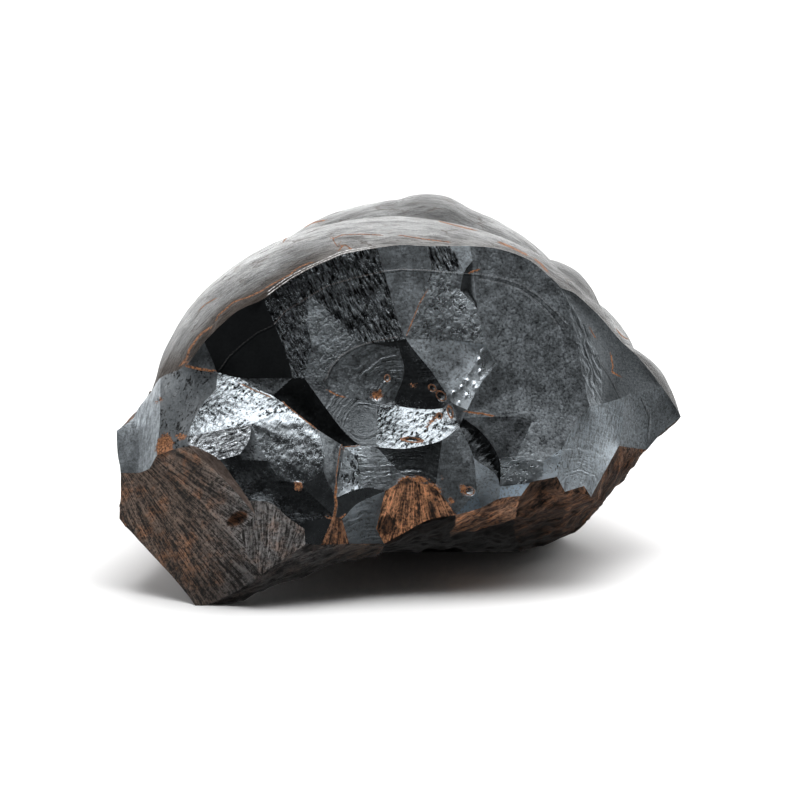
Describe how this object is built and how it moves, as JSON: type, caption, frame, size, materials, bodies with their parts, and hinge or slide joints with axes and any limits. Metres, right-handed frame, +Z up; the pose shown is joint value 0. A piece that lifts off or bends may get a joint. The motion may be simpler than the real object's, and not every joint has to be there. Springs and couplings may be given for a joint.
{
  "type": "botryoidal hematite specimen",
  "caption": "Loose piece of kidney ore hematite with rounded lobes of skin on top and behind and a many-faceted broken front, resting on a foot and its belly.",
  "frame": {"origin": "middle of the footprint's box, on the surface that the stone rests on", "axes": "+X along the stone's length, to the right as seen from the break; -Y out of the break; +Z up"},
  "size_m": [0.1164, 0.083, 0.0716],
  "materials": {
    "hematite": "dark grey metallic hematite, glossy on the break, satin on the skin, fibrous brown below"
  },
  "bodies": {
    "root": {"hematite": "hematite"}
  },
  "joints": []
}
